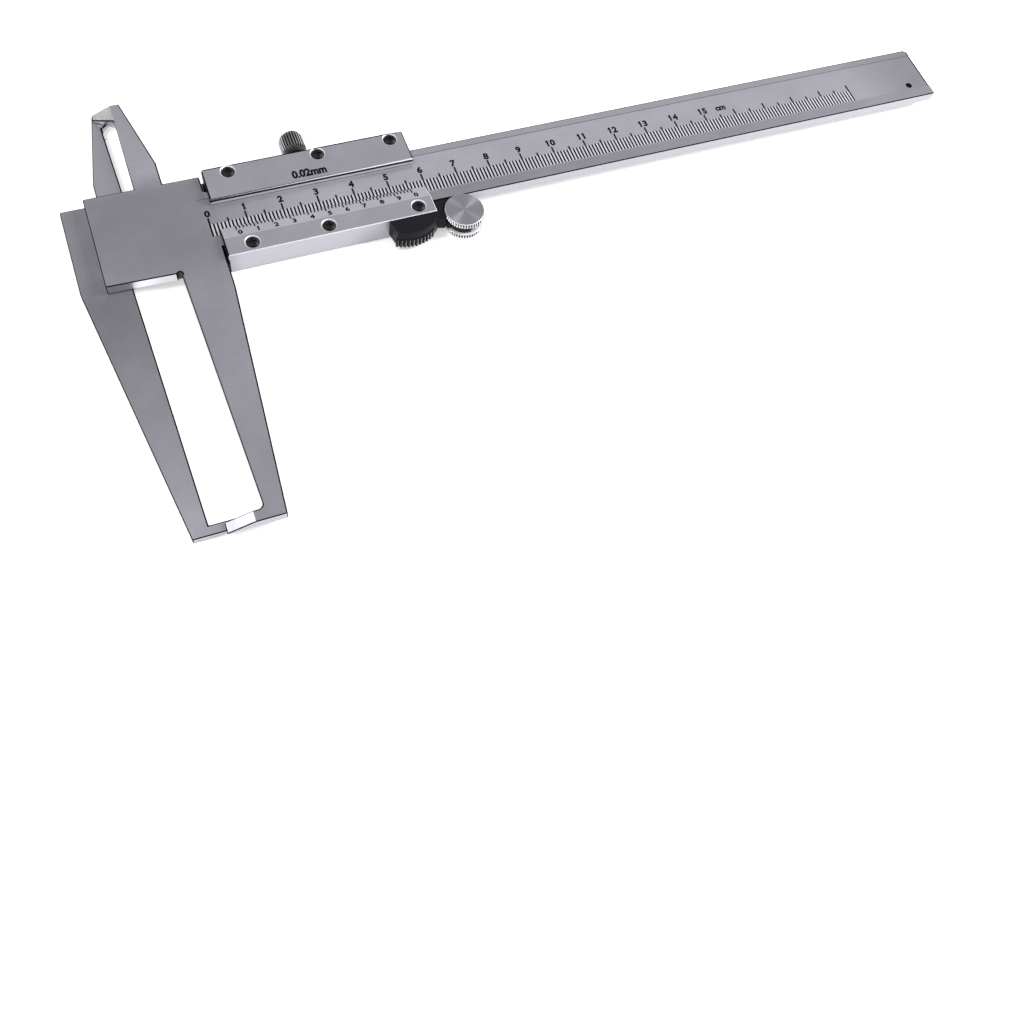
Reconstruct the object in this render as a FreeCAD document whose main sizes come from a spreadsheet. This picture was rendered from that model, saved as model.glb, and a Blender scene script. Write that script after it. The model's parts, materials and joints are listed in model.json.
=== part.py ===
import FreeCAD, Part
import os

import Sketcher

# Vernier caliper, 0-150 mm, with long hooked jaws that cross each other for inside grooves.
# Frame: X along the beam, away from the jaws; Y across it, towards the short upper jaws;
# Z out of the engraved front. X = 0 is the main scale's zero line, Y = 0 the beam's lower
# edge and Z = 0 the slider's flat back, on which the caliper lies.

os.makedirs("parts", exist_ok=True)
doc = FreeCAD.newDocument("caliper")

# ---------------------------------------------------------------- driving dimensions, in mm
DIMENSIONS = {
    # stack through the thickness
    "plate_thick": 2.2,  # slider back plate with the moving jaws
    "beam_thick": 3.0,  # beam, head and fixed jaws, one plate
    "cover_thick": 1.8,  # upper cover and vernier plate
    "slide_gap": 0.05,  # running clearance all round the beam
    # beam and head
    "beam_width": 18.8,
    "beam_end": 227.4,
    "end_round": 1.2,
    "face_recess": 0.12,  # the scale lies a little below the two guide bands
    "recess_left": -1.6,
    "recess_low": 3.3,
    "recess_high": 16.4,
    "hang_x": 220.8,
    "hang_y": 4.9,
    "hang_radius": 1.0,
    "head_left": -29.9,
    "head_top": 24.2,
    "head_right": 1.1,
    "head_bottom": -4.85,
    "head_bottom_right": -5.5,
    "head_fillet": 0.6,
    "nib_fillet": 1.3,
    "relief_radius": 0.8,
    "relief_x": -11.15,
    "relief_y": -5.8,
    # long lower jaws
    "jaw_bottom": -78.3,
    "foot_top": -75.3,
    "foot_fillet": 1.5,
    "fixed_jaw_right": 1.5,
    "fixed_jaw_bend": -13.0,
    "fixed_jaw_toe": -3.25,
    "fixed_jaw_inner_top": -10.75,
    "fixed_jaw_inner_low": -8.1,
    "fixed_tip": -17.8,  # outer measuring face of the fixed foot
    "fixed_nib_root": -10.8,
    "moving_jaw_left": -36.6,
    "moving_jaw_bend": -3.2,
    "moving_jaw_toe": -25.9,
    "moving_jaw_bottom": -77.2,
    "moving_foot_top": -74.6,
    "moving_jaw_inner_top": -23.5,
    "moving_jaw_inner_low": -21.45,
    # short upper jaws
    "upper_top": 54.8,
    "upper_right_base": -8.8,
    "upper_right_bend_y": 31.6,
    "upper_right_top": -13.9,
    "upper_right_inner": -16.4,
    "upper_left_base": -26.4,
    "upper_left_bend_y": 31.0,
    "upper_left_top": -22.0,
    "upper_left_inner_top": -20.2,
    "upper_left_inner_base": -19.4,
    "upper_tip": -21.9,  # outer measuring face of the fixed upper nib
    "upper_nib_low": 48.9,
    "upper_tip_low": 52.8,
    "upper_nib_root": -16.4,
    "min_reading": 6.2,  # how far the two nibs overlap when the slider is home
    "nib_tip_thick": 0.5,
    "nib_overrun": 0.2,  # a wedge cut runs this far past the nib's tip
    "overcut": 1.0,  # how far other cuts run past what they cut
    # slider
    "slider_left": 1.9,
    "slider_right": 59.4,
    "slider_top": 24.4,
    "slider_bottom": -4.9,
    "web_bottom": -3.5,  # back plate between the two lower jaws
    "gib_left": 4.0,
    "gib_right": 57.0,
    "gib_thick": 1.0,
    "gib_end_gap": 0.1,
    "cover_bottom": 14.0,
    "cover_setback": 0.3,  # the cover stops short of the slider's end
    "vernier_overhang": 0.2,  # and the vernier plate runs past it
    "bevel_top": 5.2,
    "bevel_base": 0.6,
    "bevel_edge": 0.35,  # height of the vernier strip's thin edge
    "screw_radius": 1.0,
    "screw_head_radius": 1.75,
    "screw_head_thick": 1.0,
    "screw_depth": 3.0,
    "screw_sink": 0.75,
    "screw_head_side": 0.6,  # height of the head's straight side
    "screw_head_flat": 1.3,  # radius of the head's flat top
    "cross_reach": 0.9,
    "cross_half": 0.2,
    "cross_depth": 0.5,
    "seat_gap": 0.12,  # radial room round a sunk head
    "shank_gap": 0.15,  # radial room round a screw in the piece it holds
    "hole_spare": 0.3,  # a tapped hole is this much deeper than its screw
    "cover_screw_y": 22.3,
    "plate_screw_y": -2.05,
    "set_screw_radius": 1.25,
    "set_screw_length": 3.6,
    "set_screw_point": 0.4,
    "set_slot_depth": 0.8,
    "rest_screw_length": 3.8,
    "rest_screw_head": 0.5,
    "rest_screw_flat": 1.2,
    "rest_slot_depth": 0.25,
    "slot_half": 0.2,
    # lock screw
    "lock_x": 28.7,
    "lock_radius": 1.4,
    "lock_head_radius": 3.5,
    "lock_head_low": 25.4,
    "lock_head_high": 33.4,
    "lock_head_bevel": 0.7,
    "lock_crown_radius": 1.5,
    "lock_crown_edge": 2.7,
    "lock_crown_low": 31.8,
    "lock_crown_mid": 33.0,
    "lock_pad_thick": 0.9,
    # thumb rest and roller
    "rest_left": 46.0,
    "rest_arc_x": 51.6,  # the rest's lower edge follows an arc round this point
    "rest_arc_y": 0.45,
    "rest_arc_radius": 10.65,
    "rest_arc_start": -26.0,  # angle of its left end, from straight down
    "rest_arc_step": 5.9,  # angle from one rib to the next
    "rest_slope_x": 61.9,
    "rest_slope_y": -6.9,
    "rest_right": 64.6,
    "rest_corner_y": -4.4,
    "rest_base": 1.25,
    "rest_front": 6.9,
    "rib_radius": 0.42,
    "rib_height": 3.0,
    "beside_gap": 0.3,  # between the rest and the slider's end, and the beam's edge
    "disc_room": 0.3,  # between the rest and the roller's rims
    "ear_left": 49.0,
    "ear_right": 56.5,
    "ear_low": -8.6,
    "ear_screw_y": -6.8,
    "ear_base": 0.6,
    "ear_thick": 1.6,
    "roller_x": 67.5,
    "roller_radius": 5.56,
    "disc_thick": 1.8,
    "disc_bevel": 0.25,
    "disc_web": 0.6,  # skin over the axle's end in the top disc
    "disc_gap": 2.4,
    "roller_low": 0.0,
    "arm_thick": 2.0,
    "arm_neck": 2.0,  # half the arm's width where it leaves the rest
    "arm_radius": 4.8,
    "axle_radius": 1.25,
    "bush_radius": 1.9,
    "washer_radius": 2.4,
    "washer_thick": 0.12,
    "washer_gap": 0.02,
    "rim_gap": 0.04,  # between the roller's rims and the beam's edge
}

sheet = doc.addObject("Spreadsheet::Sheet", "Sheet")
for row, (alias, amount) in enumerate(DIMENSIONS.items(), start=1):
    sheet.set(f"A{row}", alias)
    sheet.set(f"B{row}", str(amount))
    sheet.setAlias(f"B{row}", alias)
doc.recompute()

SPACED_SCREWS = {"cover": (8.8, 33.9, 54.9), "plate": (9.1, 29.9, 55.2)}
SET_SCREW_X = (14.0, 46.0)
EAR_SCREW_X = (51.0, 54.6)
RIB_COUNT = 11
REST_ARC_CORNERS = 14
RUNNING = 0.05  # radial clearance of a shaft in its own hole


def cells(text):
    """Puts the sheet's name before each alias, so that 'beam_width / 2' is a full expression."""
    words = []
    for word in text.replace("(", "( ").replace(")", " )").split():
        words.append(f"Sheet.{word}" if word in DIMENSIONS else word)
    return " ".join(words)


def size(text):
    """The value of an expression over the sheet's aliases."""
    return float(sheet.evalExpression(cells(str(text))))


# ---------------------------------------------------------------- small building helpers
def new_body(label):
    body = doc.addObject("PartDesign::Body", label)
    body.Label = label
    return body


def origin_plane(body, role):
    for feature in body.Origin.OriginFeatures:
        if feature.Role == role:
            return feature
    raise ValueError(role)


def new_sketch(body, name, role="XY_Plane", lift="0"):
    """A sketch on one of the body's own planes, lifted along that plane's normal."""
    sketch = body.newObject("Sketcher::SketchObject", name)
    sketch.AttachmentSupport = [(origin_plane(body, role), "")]
    sketch.MapMode = "FlatFace"
    sketch.setExpression("AttachmentOffset.Base.z", cells(str(lift)))
    return sketch


def place_vertex(sketch, line, x_text, y_text):
    """Ties the start of a line to the origin with two bound distances."""
    for kind, text in (("DistanceX", x_text), ("DistanceY", y_text)):
        index = sketch.addConstraint(Sketcher.Constraint(kind, -1, 1, line, 1, size(text)))
        sketch.setExpression(f"Constraints[{index}]", cells(str(text)))


def draw_outline(sketch, corners):
    """A closed outline through corners, each an (x, y) pair of expressions."""
    points = [FreeCAD.Vector(size(x), size(y), 0) for x, y in corners]
    lines = []
    for start, end in zip(points, points[1:] + points[:1]):
        lines.append(sketch.addGeometry(Part.LineSegment(start, end), False))
    for line, following in zip(lines, lines[1:] + lines[:1]):
        sketch.addConstraint(Sketcher.Constraint("Coincident", line, 2, following, 1))
    for line, (x_text, y_text) in zip(lines, corners):
        place_vertex(sketch, line, x_text, y_text)
    return lines


def draw_box(sketch, left, low, right, high):
    return draw_outline(sketch, [(left, low), (right, low), (right, high), (left, high)])


def draw_circle(sketch, x_text, y_text, radius):
    centre = FreeCAD.Vector(size(x_text), size(y_text), 0)
    circle = sketch.addGeometry(Part.Circle(centre, FreeCAD.Vector(0, 0, 1), size(radius)), False)
    for kind, text in (("DistanceX", x_text), ("DistanceY", y_text)):
        index = sketch.addConstraint(Sketcher.Constraint(kind, -1, 1, circle, 3, size(text)))
        sketch.setExpression(f"Constraints[{index}]", cells(str(text)))
    index = sketch.addConstraint(Sketcher.Constraint("Radius", circle, size(radius)))
    sketch.setExpression(f"Constraints[{index}]", cells(str(radius)))


def add_pad(body, sketch, length):
    pad = body.newObject("PartDesign::Pad", f"{sketch.Name}_pad")
    pad.Profile = sketch
    pad.setExpression("Length", cells(str(length)))
    doc.recompute()
    return pad


def add_pocket(body, sketch, length, flip=False):
    """Cuts the sketch's profile; flip cuts along the sketch's normal, not against it."""
    before = body.Shape.Volume
    pocket = body.newObject("PartDesign::Pocket", f"{sketch.Name}_pocket")
    pocket.Profile = sketch
    pocket.Reversed = flip
    pocket.setExpression("Length", cells(str(length)))
    doc.recompute()
    if not body.Shape.Volume < before - 1e-6:
        raise RuntimeError(f"{pocket.Name} cuts nothing")
    return pocket


def add_fillet(body, radius, chosen):
    """Rounds the upright edges that stand at the chosen (x, y) corners."""
    doc.recompute()
    tip = body.Tip
    names = []
    for number, edge in enumerate(tip.Shape.Edges, start=1):
        ends = [vertex.Point for vertex in edge.Vertexes]
        if len(ends) != 2 or abs(ends[0].z - ends[1].z) < 0.5 * size("beam_thick"):
            continue
        for x, y in chosen:
            if abs(ends[0].x - size(x)) < 0.02 and abs(ends[0].y - size(y)) < 0.02:
                names.append(f"Edge{number}")
    if len(names) < len(chosen):
        raise RuntimeError(f"{body.Label}: found {len(names)} of {len(chosen)} corners")
    fillet = body.newObject("PartDesign::Fillet", f"{body.Name}_fillet")
    fillet.Base = (tip, names)
    fillet.setExpression("Radius", cells(str(radius)))
    doc.recompute()
    return fillet


def add_revolution(body, sketch):
    """Turns a half profile, drawn with radius along X and height along Y, about the height."""
    turn = body.newObject("PartDesign::Revolution", f"{sketch.Name}_turn")
    turn.Profile = sketch
    turn.ReferenceAxis = (sketch, ["V_Axis"])
    turn.Angle = 360
    doc.recompute()
    return turn


def put(thing, x="0", y="0", z="0"):
    """Binds the place of a finished object to the sheet."""
    for axis, text in (("x", x), ("y", y), ("z", z)):
        thing.setExpression(f"Placement.Base.{axis}", cells(str(text)))


def turned(label, corners):
    """A body of revolution about its own Z axis, from (radius, height) corners."""
    body = new_body(label)
    sketch = new_sketch(body, f"{label}_profile", "XZ_Plane")
    draw_outline(sketch, corners)
    add_revolution(body, sketch)
    return body


def group(label, bodies):
    """Identical separate solids in one node."""
    compound = doc.addObject("Part::Compound", label)
    compound.Label = label
    compound.Links = bodies
    return compound


# Heights used by several pieces.
BEAM_BASE = "plate_thick + slide_gap"
RAIL_TOP = "plate_thick + beam_thick + 2 * slide_gap"
FRONT = f"{RAIL_TOP} + cover_thick"
MID_BEAM = "plate_thick + slide_gap + beam_thick / 2"


# ---------------------------------------------------------------- main beam
def wedge(body, name, root_x, tip_x, low_y, high_y, full, thin):
    """Thins a nib on one face: the cut is nothing at its root and leaves thin at its tip."""
    # Sketch X is the body's X and sketch Y its Z; the sketch's normal points to -Y.
    sketch = new_sketch(body, name, "XZ_Plane", f"0 - ({high_y})")
    draw_outline(sketch, [(root_x, full), (tip_x, full), (tip_x, thin)])
    return add_pocket(body, sketch, f"({high_y}) - ({low_y})", flip=True)


def make_main_beam():
    """Beam, head and both right-hand jaws: one flat plate."""
    body = new_body("main_beam")
    outline = [
        ("beam_end", "0"),
        ("beam_end", "beam_width"),
        ("head_right", "beam_width"),
        ("head_right", "head_top"),
        ("upper_right_base", "head_top"),
        ("upper_right_base", "upper_right_bend_y"),
        ("upper_right_top", "upper_top"),
        ("upper_tip", "upper_top"),
        ("upper_tip", "upper_tip_low"),
        ("upper_right_inner", "upper_nib_low"),
        ("upper_right_inner", "head_top"),
        ("head_left", "head_top"),
        ("head_left", "head_bottom"),
        ("fixed_jaw_inner_top", "head_bottom_right"),
        ("fixed_jaw_inner_low", "foot_top"),
        ("fixed_tip", "foot_top"),
        ("fixed_tip", "jaw_bottom"),
        ("fixed_jaw_toe", "jaw_bottom"),
        ("fixed_jaw_right", "fixed_jaw_bend"),
        ("fixed_jaw_right", "0"),
    ]
    sketch = new_sketch(body, "beam_outline")
    draw_outline(sketch, outline)
    add_pad(body, sketch, "beam_thick")
    add_fillet(body, "end_round", [("beam_end", "beam_width")])
    add_fillet(body, "head_fillet", [("head_right", "beam_width")])
    add_fillet(body, "nib_fillet", [("upper_right_inner", "upper_nib_low")])
    add_fillet(body, "foot_fillet", [("fixed_jaw_inner_low", "foot_top")])

    corner_relief = new_sketch(body, "corner_relief")
    draw_circle(corner_relief, "relief_x", "relief_y", "relief_radius")
    draw_circle(corner_relief, "hang_x", "hang_y", "hang_radius")
    add_pocket(body, corner_relief, "beam_thick", flip=True)

    scale_face = new_sketch(body, "scale_face", "XY_Plane", "beam_thick")
    draw_box(scale_face, "recess_left", "recess_low", "beam_end + overcut", "recess_high")
    add_pocket(body, scale_face, "face_recess")

    wedge(body, "lower_nib", "fixed_nib_root", "fixed_tip - nib_overrun", "jaw_bottom - overcut",
          "foot_top + overcut", "beam_thick", "nib_tip_thick")
    wedge(body, "upper_nib", "upper_nib_root", "upper_tip - nib_overrun", "upper_nib_low - overcut",
          "upper_top + overcut", "beam_thick", "nib_tip_thick")
    put(body, z=BEAM_BASE)
    return body


# ---------------------------------------------------------------- slider frame
def cut_round_holes(body, name, places, radius, depth, top, face="XY_Plane"):
    """Round holes of one size, cut down from a lifted plane."""
    sketch = new_sketch(body, name, face, top)
    for x, y in places:
        draw_circle(sketch, x, y, radius)
    return add_pocket(body, sketch, depth)


def make_slider_frame():
    """Back plate, its two guide rails and both left-hand jaws."""
    body = new_body("slider_frame")
    lower_tip = "fixed_tip + min_reading"
    upper_tip = "upper_tip + min_reading"
    outline = [
        ("slider_right", "slider_bottom"),
        ("slider_right", "slider_top"),
        ("upper_left_inner_base", "slider_top"),
        ("upper_left_inner_top", "upper_nib_low + overcut"),
        (upper_tip, "upper_tip_low"),
        (upper_tip, "upper_top"),
        ("upper_left_top", "upper_top"),
        ("upper_left_base", "upper_left_bend_y"),
        ("upper_left_base", "head_top"),
        ("moving_jaw_left", "head_top"),
        ("moving_jaw_left", "moving_jaw_bend"),
        ("moving_jaw_toe", "moving_jaw_bottom"),
        (lower_tip, "moving_jaw_bottom"),
        (lower_tip, "moving_foot_top"),
        ("moving_jaw_inner_low", "moving_foot_top"),
        ("moving_jaw_inner_top", "web_bottom"),
        ("slider_left", "web_bottom"),
        ("slider_left", "slider_bottom"),
    ]
    plate = new_sketch(body, "plate_outline")
    draw_outline(plate, outline)
    add_pad(body, plate, "plate_thick")

    rails = new_sketch(body, "rails", "XY_Plane", "plate_thick")
    draw_box(rails, "slider_left", "beam_width + 2 * slide_gap", "slider_right", "slider_top")
    draw_box(rails, "slider_left", "slider_bottom", "slider_right", "0 - slide_gap")
    add_pad(body, rails, "beam_thick + 2 * slide_gap")

    ear = new_sketch(body, "ear", "XY_Plane", "ear_base")
    draw_box(ear, "ear_left", "ear_low", "ear_right", "slider_bottom + overcut")
    add_pad(body, ear, "ear_thick")

    gib_channel = new_sketch(body, "gib_channel", "XY_Plane", RAIL_TOP)
    draw_box(gib_channel, "gib_left", "beam_width", "gib_right", "beam_width + gib_thick + 2 * slide_gap")
    add_pocket(body, gib_channel, "beam_thick + 2 * slide_gap")

    wedge(body, "lower_hook", "moving_jaw_inner_low", f"{lower_tip} + nib_overrun",
          "jaw_bottom - overcut", "moving_foot_top + overcut", "0", "plate_thick - nib_tip_thick")
    wedge(body, "upper_hook", "upper_left_inner_top - overcut", f"{upper_tip} + nib_overrun",
          "upper_nib_low - overcut", "upper_top + overcut", "0", "plate_thick - nib_tip_thick")

    tapped = f"screw_radius + {RUNNING}"
    places = [(x, "cover_screw_y") for x in SPACED_SCREWS["cover"]]
    places += [(x, "plate_screw_y") for x in SPACED_SCREWS["plate"]]
    cut_round_holes(body, "tapped_holes", places, tapped, "screw_depth + hole_spare", RAIL_TOP)
    ear_places = [(x, "ear_screw_y") for x in EAR_SCREW_X]
    cut_round_holes(body, "ear_holes", ear_places, tapped, "ear_thick", "ear_base + ear_thick")

    # Holes across the upper rail: sketch X is the body's X and sketch Y its Z.
    across = new_sketch(body, "set_screw_holes", "XZ_Plane", "0 - slider_top")
    for x in SET_SCREW_X:
        draw_circle(across, x, MID_BEAM, f"set_screw_radius + {RUNNING}")
    draw_circle(across, "lock_x", MID_BEAM, f"lock_radius + {RUNNING}")
    add_pocket(body, across, "slider_top - beam_width - gib_thick - slide_gap", flip=True)
    return body


# ---------------------------------------------------------------- plates on the slider
def screw_seats(body, name, places, top):
    """Counterbore and clearance hole for each pan head screw."""
    cut_round_holes(body, f"{name}_seats", places, "screw_head_radius + seat_gap", "screw_sink", top)
    through = "cover_thick + overcut"
    cut_round_holes(body, f"{name}_clearance", places, "screw_radius + shank_gap", through, top)


def make_upper_cover():
    body = new_body("upper_cover")
    sketch = new_sketch(body, "cover_outline")
    draw_box(sketch, "slider_left", "cover_bottom", "slider_right - cover_setback", "slider_top")
    add_pad(body, sketch, "cover_thick")
    screw_seats(body, "cover", [(x, "cover_screw_y") for x in SPACED_SCREWS["cover"]], "cover_thick")
    put(body, z=RAIL_TOP)
    return body


def make_vernier_plate():
    """Flat strip on the lower rail, bevelled down to the main scale along its upper side."""
    body = new_body("vernier_plate")
    # Profile across the beam: sketch X is the body's Y and sketch Y its Z.
    sketch = new_sketch(body, "vernier_profile", "YZ_Plane", "slider_left")
    profile = [
        ("slider_bottom", "0"),
        ("bevel_top", "0"),
        ("bevel_top", "bevel_edge"),
        ("bevel_base", "cover_thick"),
        ("slider_bottom", "cover_thick"),
    ]
    draw_outline(sketch, profile)
    add_pad(body, sketch, "slider_right - slider_left + vernier_overhang")
    screw_seats(body, "plate", [(x, "plate_screw_y") for x in SPACED_SCREWS["plate"]], "cover_thick")
    put(body, z=RAIL_TOP)
    return body


# ---------------------------------------------------------------- gib
def cut_slot(body, name, top, depth):
    """A driver slot right across a screw's end."""
    slot = new_sketch(body, name, "XY_Plane", top)
    reach = "screw_head_radius + overcut"
    draw_box(slot, f"0 - ({reach})", "0 - slot_half", reach, "slot_half")
    add_pocket(body, slot, depth)


def make_gib_strip():
    """Bronze strip between the beam's upper edge and the upper rail."""
    body = new_body("gib_strip")
    sketch = new_sketch(body, "gib_outline")
    low = "beam_width + slide_gap"
    draw_box(sketch, "gib_left + gib_end_gap", low, "gib_right - gib_end_gap", f"{low} + gib_thick")
    add_pad(body, sketch, "beam_thick - 2 * slide_gap")
    put(body, z=f"{BEAM_BASE} + slide_gap")
    return body


def make_gib_set_screws():
    """Headless slotted screws in the upper rail, which press the gib to the beam."""
    foot = "beam_width + gib_thick + 2 * slide_gap"
    screws = []
    for number, x in enumerate(SET_SCREW_X, start=1):
        body = turned(f"set_screw_{number}", [
            ("0", "0"),
            ("set_screw_radius - set_screw_point", "0"),
            ("set_screw_radius", "set_screw_point"),
            ("set_screw_radius", "set_screw_length"),
            ("0", "set_screw_length"),
        ])
        cut_slot(body, f"set_slot_{number}", "set_screw_length", "set_slot_depth")
        body.Placement.Rotation = FreeCAD.Rotation(FreeCAD.Vector(1, 0, 0), -90)
        put(body, x, foot, MID_BEAM)
        screws.append(body)
    return group("gib_set_screws", screws)


# ---------------------------------------------------------------- pan head screws
def pan_screw(label, depth):
    """Small pan head screw with a cross recess; its head's underside is at height zero."""
    body = turned(label, [
        ("0", f"0 - ({depth})"),
        ("screw_radius", f"0 - ({depth})"),
        ("screw_radius", "0"),
        ("screw_head_radius", "0"),
        ("screw_head_radius", "screw_head_side"),
        ("screw_head_flat", "screw_head_thick"),
        ("0", "screw_head_thick"),
    ])
    for turn, (wide, high) in enumerate((("cross_reach", "cross_half"), ("cross_half", "cross_reach"))):
        cross = new_sketch(body, f"{label}_cross_{turn}", "XY_Plane", "screw_head_thick")
        draw_box(cross, f"0 - {wide}", f"0 - {high}", wide, high)
        add_pocket(body, cross, "cross_depth")
    return body


def make_plate_screws(label, row, y_text):
    screws = []
    for number, x in enumerate(SPACED_SCREWS[row], start=1):
        body = pan_screw(f"{row}_screw_{number}", "screw_depth + cover_thick - screw_sink")
        put(body, x, y_text, f"{FRONT} - screw_sink")
        screws.append(body)
    return group(label, screws)


def make_thumb_rest_screws():
    """Driven from the back through the ear into the thumb rest."""
    screws = []
    for number, x in enumerate(EAR_SCREW_X, start=1):
        body = turned(f"rest_screw_{number}", [
            ("0", "0 - rest_screw_length"),
            ("screw_radius", "0 - rest_screw_length"),
            ("screw_radius", "0"),
            ("screw_head_radius", "0"),
            ("rest_screw_flat", "rest_screw_head"),
            ("0", "rest_screw_head"),
        ])
        cut_slot(body, f"rest_slot_{number}", "rest_screw_head", "rest_slot_depth")
        body.Placement.Rotation = FreeCAD.Rotation(FreeCAD.Vector(1, 0, 0), 180)
        put(body, x, "ear_screw_y", "ear_base")
        screws.append(body)
    return group("thumb_rest_screws", screws)


# ---------------------------------------------------------------- lock screw
def make_lock_screw():
    """Knurled thumb screw through the upper rail; its axis lies across the beam."""
    shank_low = "beam_width + gib_thick + 3 * slide_gap + lock_pad_thick"
    body = turned("lock_screw", [
        ("0", shank_low),
        ("lock_radius", shank_low),
        ("lock_radius", "lock_head_low"),
        ("lock_head_radius - lock_head_bevel", "lock_head_low"),
        ("lock_head_radius", "lock_head_low + lock_head_bevel"),
        ("lock_head_radius", "lock_crown_low"),
        ("lock_crown_edge", "lock_crown_mid"),
        ("lock_crown_radius", "lock_head_high"),
        ("0", "lock_head_high"),
    ])
    body.Placement.Rotation = FreeCAD.Rotation(FreeCAD.Vector(1, 0, 0), -90)
    put(body, "lock_x", "0", MID_BEAM)
    return body


def make_lock_pad():
    """Captive brass pad at the lock screw's foot, which spares the gib."""
    pad = doc.addObject("Part::Cylinder", "lock_pad")
    pad.Label = "lock_pad"
    pad.setExpression("Radius", cells("lock_radius - slide_gap"))
    pad.setExpression("Height", cells("lock_pad_thick"))
    pad.Placement.Rotation = FreeCAD.Rotation(FreeCAD.Vector(1, 0, 0), -90)
    put(pad, "lock_x", "beam_width + gib_thick + 3 * slide_gap", MID_BEAM)
    return pad


# ---------------------------------------------------------------- thumb rest and roller
ARM_LOW = "roller_low + disc_thick + (disc_gap - arm_thick) / 2"
ROLLER_Y = "0 - roller_radius - rim_gap"


def on_rest_arc(number):
    """The corner of the rest's lower edge that is this many ribs from its left end."""
    angle = f"(rest_arc_start + {number} * rest_arc_step)"
    return (f"rest_arc_x + rest_arc_radius * sin{angle}", f"rest_arc_y - rest_arc_radius * cos{angle}")


def make_thumb_rest():
    """Black plastic rest below the slider, with the arm that carries the roller."""
    body = new_body("thumb_rest")
    block = new_sketch(body, "rest_outline", "XY_Plane", "rest_base")
    under = "slider_bottom - slide_gap"
    beside = "slider_right + beside_gap"
    draw_outline(block, [
        ("rest_left", under),
        *(on_rest_arc(number) for number in range(REST_ARC_CORNERS)),
        ("rest_slope_x", "rest_slope_y"),
        ("rest_right", "rest_corner_y"),
        ("rest_right", "0 - beside_gap"),
        (beside, "0 - beside_gap"),
        (beside, under),
    ])
    add_pad(body, block, "rest_front - rest_base")

    # Beside the beam the rest stops level with its front face.
    step = new_sketch(body, "rest_step", "XY_Plane", "rest_front")
    draw_box(step, beside, "rest_slope_y - overcut", "rest_right + overcut", "0")
    add_pocket(body, step, f"rest_front - ({RAIL_TOP})")

    ribs = new_sketch(body, "ribs", "XY_Plane", "rest_base")
    for number in range(RIB_COUNT):
        draw_circle(ribs, *on_rest_arc(number), "rib_radius")
    add_pad(body, ribs, "rib_height")

    # Room for the two discs, above and below the arm.
    for name, top, depth in (
        ("upper_disc_room", "rest_front", f"rest_front - ({ARM_LOW}) - arm_thick"),
        ("lower_disc_room", ARM_LOW, f"{ARM_LOW} - rest_base + overcut"),
    ):
        room = new_sketch(body, name, "XY_Plane", top)
        draw_circle(room, "roller_x", ROLLER_Y, "roller_radius + disc_room")
        add_pocket(body, room, depth)

    arm = new_sketch(body, "arm", "XY_Plane", ARM_LOW)
    arm_high = f"{ROLLER_Y} + arm_neck"
    arm_low = f"{ROLLER_Y} - arm_neck"
    draw_box(arm, "rest_slope_x", arm_low, "roller_x", arm_high)
    add_pad(body, arm, "arm_thick")
    arm_end = new_sketch(body, "arm_end", "XY_Plane", ARM_LOW)
    draw_circle(arm_end, "roller_x", ROLLER_Y, "arm_radius")
    add_pad(body, arm_end, "arm_thick")
    bush_seat = new_sketch(body, "bush_seat", "XY_Plane", f"{ARM_LOW} + arm_thick")
    draw_circle(bush_seat, "roller_x", ROLLER_Y, "bush_radius")
    add_pocket(body, bush_seat, "arm_thick")

    ear_pocket = new_sketch(body, "ear_pocket", "XY_Plane", "ear_base + ear_thick + slide_gap")
    draw_box(ear_pocket, "ear_left - slide_gap", "ear_low - slide_gap", "ear_right + slide_gap",
             "slider_bottom + overcut")
    add_pocket(body, ear_pocket, "ear_thick + overcut")
    ear_places = [(x, "ear_screw_y") for x in EAR_SCREW_X]
    cut_round_holes(body, "rest_pilots", ear_places, f"screw_radius + {RUNNING}", "rest_screw_length",
                    "ear_base + rest_screw_length + hole_spare")
    return body


def disc(label, low, blind):
    """One knurled disc of the roller, bored for the axle from below; a blind bore leaves a skin."""
    rim = [
        ("axle_radius", "0"),
        ("roller_radius - disc_bevel", "0"),
        ("roller_radius", "disc_bevel"),
        ("roller_radius", "disc_thick - disc_bevel"),
        ("roller_radius - disc_bevel", "disc_thick"),
    ]
    if blind:
        bore_end = "disc_thick - disc_web"
        inside = [("0", "disc_thick"), ("0", bore_end), ("axle_radius", bore_end)]
    else:
        inside = [("axle_radius", "disc_thick")]
    body = turned(label, rim + inside)
    put(body, "roller_x", ROLLER_Y, low)
    return body


def make_roller_axle():
    axle = doc.addObject("Part::Cylinder", "roller_axle")
    axle.Label = "roller_axle"
    axle.setExpression("Radius", cells("axle_radius"))
    axle.setExpression("Height", cells("2 * disc_thick + disc_gap - disc_web"))
    put(axle, "roller_x", ROLLER_Y, "roller_low")
    return axle


def ring(label, outer, inner, low, thick):
    body = turned(label, [(inner, "0"), (outer, "0"), (outer, thick), (inner, thick)])
    put(body, "roller_x", ROLLER_Y, low)
    return body


def make_roller_bush():
    inner = f"axle_radius + {RUNNING}"
    return ring("roller_bush", "bush_radius", inner, ARM_LOW, "arm_thick")


def make_roller_washers():
    """A thin washer between each disc and the arm."""
    inner = f"axle_radius + {RUNNING}"
    upper_low = "roller_low + disc_thick + disc_gap - washer_thick - washer_gap"
    lower_low = "roller_low + disc_thick + washer_gap"
    washers = []
    for name, low in (("washer_upper", upper_low), ("washer_lower", lower_low)):
        washers.append(ring(name, "washer_radius", inner, low, "washer_thick"))
    return group("roller_washers", washers)


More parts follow.
